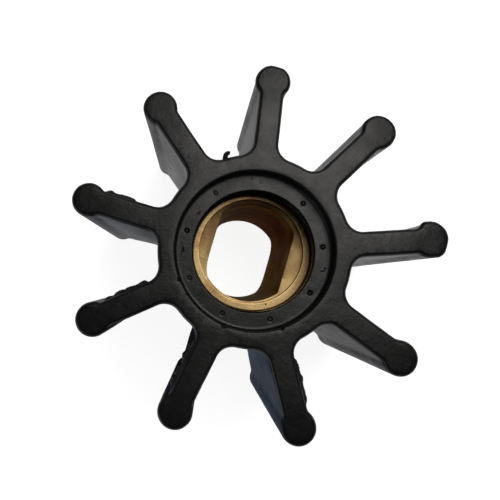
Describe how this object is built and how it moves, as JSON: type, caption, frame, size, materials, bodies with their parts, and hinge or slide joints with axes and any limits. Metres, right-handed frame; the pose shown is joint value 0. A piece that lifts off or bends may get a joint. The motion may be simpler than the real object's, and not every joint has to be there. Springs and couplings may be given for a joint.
{
  "type": "rubber pump impeller",
  "caption": "Flexible pump impeller: a black rubber hub with straight radial blades ending in round bulbs, moulded around a brass bush with a two-flat drive bore.",
  "frame": {"origin": "on the shaft axis, in the plane of the back end face, which the part rests on", "axes": "+Z along the shaft towards the front end face, the one with pips on its recessed ring; the flats of the drive bore face +X and -X, and -X is also a blade's centre line"},
  "size_m": [0.0632, 0.0642, 0.05],
  "materials": {
    "black_rubber": "moulded satin",
    "brass": "turned, lightly tarnished"
  },
  "bodies": {
    "root": {"rubber_impeller_body": "black_rubber", "brass_drive_bush": "brass"}
  },
  "joints": []
}
